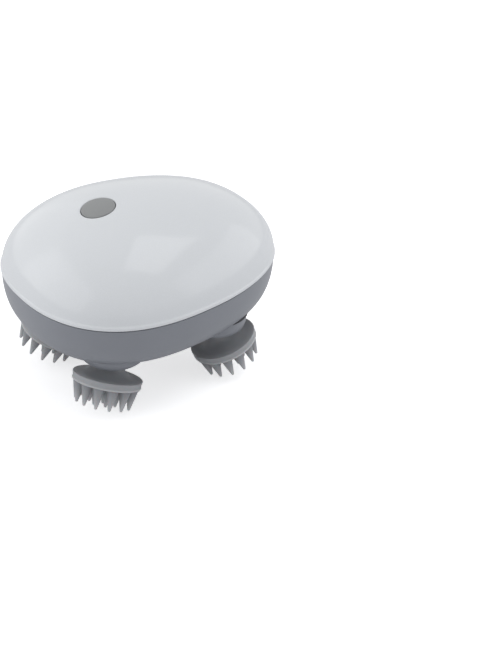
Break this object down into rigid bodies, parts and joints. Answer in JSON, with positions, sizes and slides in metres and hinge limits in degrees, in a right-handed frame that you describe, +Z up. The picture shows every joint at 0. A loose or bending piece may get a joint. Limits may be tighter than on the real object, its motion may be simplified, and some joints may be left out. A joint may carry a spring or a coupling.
{
  "type": "electric scalp massager",
  "caption": "Handheld electric scalp massager: an egg-shaped case with a round button on top and leaning, rotating silicone finger heads below.",
  "frame": {"origin": "middle of the bounding box, at the finger tips that it stands on", "axes": "+X from the broad end with the button to the narrow end with the charging port, +Y to the rear, +Z up through the dome"},
  "size_m": [0.125, 0.102, 0.0874],
  "materials": {
    "pearl_shell": "glossy pearl white ABS",
    "slate_shell": "satin blue-grey ABS",
    "silicone": "satin grey silicone",
    "button_plastic": "satin mid grey",
    "seal_rubber": "matt black rubber",
    "acetal": "natural acetal",
    "dark_plastic": "matt black ABS",
    "steel": "bright steel",
    "brass": "turned brass",
    "board_laminate": "green solder mask",
    "cell_wrap": "blue shrink wrap, no print",
    "wire_cover": "red and black wire insulation"
  },
  "bodies": {
    "case": {"top_shell": "pearl_shell", "base_shell": "slate_shell", "rim_gasket": "seal_rubber", "drum_seal_front_left": "seal_rubber", "drum_seal_front_right": "seal_rubber", "drum_seal_rear_left": "seal_rubber", "drum_seal_rear_right": "seal_rubber", "gear_tray": "dark_plastic", "gearbox_cover": "dark_plastic", "battery_cradle": "dark_plastic", "motor_cap": "dark_plastic", "tact_switch": "dark_plastic", "charging_socket": "dark_plastic", "central_axle": "steel", "reduction_axle_1": "steel", "reduction_axle_2": "steel", "motor_can": "steel", "motor_screws": "steel", "gearbox_screws": "steel", "board_screws": "steel", "bush_front_left": "brass", "bush_front_right": "brass", "bush_rear_left": "brass", "bush_rear_right": "brass", "circuit_board": "board_laminate", "battery_cell": "cell_wrap", "motor_wires": "wire_cover", "battery_wires": "wire_cover", "charging_wires": "wire_cover"},
    "head_front_left": {"drum_front_left": "slate_shell", "core_front_left": "acetal", "brush_front_left": "silicone", "output_shaft_front_left": "steel", "output_gear_front_left": "acetal"},
    "head_front_right": {"drum_front_right": "slate_shell", "core_front_right": "acetal", "brush_front_right": "silicone", "output_shaft_front_right": "steel", "output_gear_front_right": "acetal"},
    "head_rear_left": {"drum_rear_left": "slate_shell", "core_rear_left": "acetal", "brush_rear_left": "silicone", "output_shaft_rear_left": "steel", "output_gear_rear_left": "acetal"},
    "head_rear_right": {"drum_rear_right": "slate_shell", "core_rear_right": "acetal", "brush_rear_right": "silicone", "output_shaft_rear_right": "steel", "output_gear_rear_right": "acetal"},
    "central_wheel": {"central_gear": "acetal"},
    "reduction_wheel_1": {"reduction_gear_1": "acetal"},
    "reduction_wheel_2": {"reduction_gear_2": "acetal"},
    "rotor": {"motor_shaft": "steel", "motor_pinion": "brass"},
    "button": {"power_button": "button_plastic", "switch_plunger": "dark_plastic"},
    "port_flap": {"port_cover": "slate_shell"}
  },
  "joints": [
    {"name": "central_spin", "type": "hinge", "parent": "case", "child": "central_wheel", "pos_m": [-0.0035, 0, 0.03733], "axis": [0, 0, 1], "continuous": true},
    {"name": "head_front_left_spin", "type": "hinge", "parent": "case", "child": "head_front_left", "pos_m": [-0.02942, -0.022, 0.03733], "axis": [0, 0, 1], "continuous": true},
    {"name": "head_front_right_spin", "type": "hinge", "parent": "case", "child": "head_front_right", "pos_m": [0.02242, -0.022, 0.03733], "axis": [0, 0, 1], "continuous": true},
    {"name": "head_rear_left_spin", "type": "hinge", "parent": "case", "child": "head_rear_left", "pos_m": [-0.02942, 0.022, 0.03733], "axis": [0, 0, 1], "continuous": true},
    {"name": "head_rear_right_spin", "type": "hinge", "parent": "case", "child": "head_rear_right", "pos_m": [0.02242, 0.022, 0.03733], "axis": [0, 0, 1], "continuous": true},
    {"name": "reduction_2_spin", "type": "hinge", "parent": "case", "child": "reduction_wheel_2", "pos_m": [-0.0035, -0.028, 0.03733], "axis": [0, 0, 1], "continuous": true},
    {"name": "reduction_1_spin", "type": "hinge", "parent": "case", "child": "reduction_wheel_1", "pos_m": [0.0061, -0.01137, 0.03733], "axis": [0, 0, 1], "continuous": true},
    {"name": "motor_spin", "type": "hinge", "parent": "case", "child": "rotor", "pos_m": [-0.00508, 0.00196, 0.03733], "axis": [0, 0, 1], "continuous": true},
    {"name": "button_press", "type": "slide", "parent": "case", "child": "button", "axis": [0.2337, 0, -0.9723], "range_m": [0, 0.0008], "stiffness_N_per_m": 1500, "springref_m": -0.0002},
    {"name": "port_cover_hinge", "type": "hinge", "parent": "case", "child": "port_flap", "pos_m": [0.0611, 0, 0.04113], "axis": [0, 1, 0], "range_deg": [0, 100]}
  ],
  "couplings": [
    {"joint": "head_front_left_spin", "follows": "central_spin", "ratio": -1.8333},
    {"joint": "head_front_right_spin", "follows": "central_spin", "ratio": -1.8333},
    {"joint": "head_rear_left_spin", "follows": "central_spin", "ratio": -1.8333},
    {"joint": "head_rear_right_spin", "follows": "central_spin", "ratio": -1.8333},
    {"joint": "reduction_2_spin", "follows": "central_spin", "ratio": -3.6667},
    {"joint": "reduction_1_spin", "follows": "central_spin", "ratio": 11},
    {"joint": "motor_spin", "follows": "central_spin", "ratio": -52.8}
  ]
}
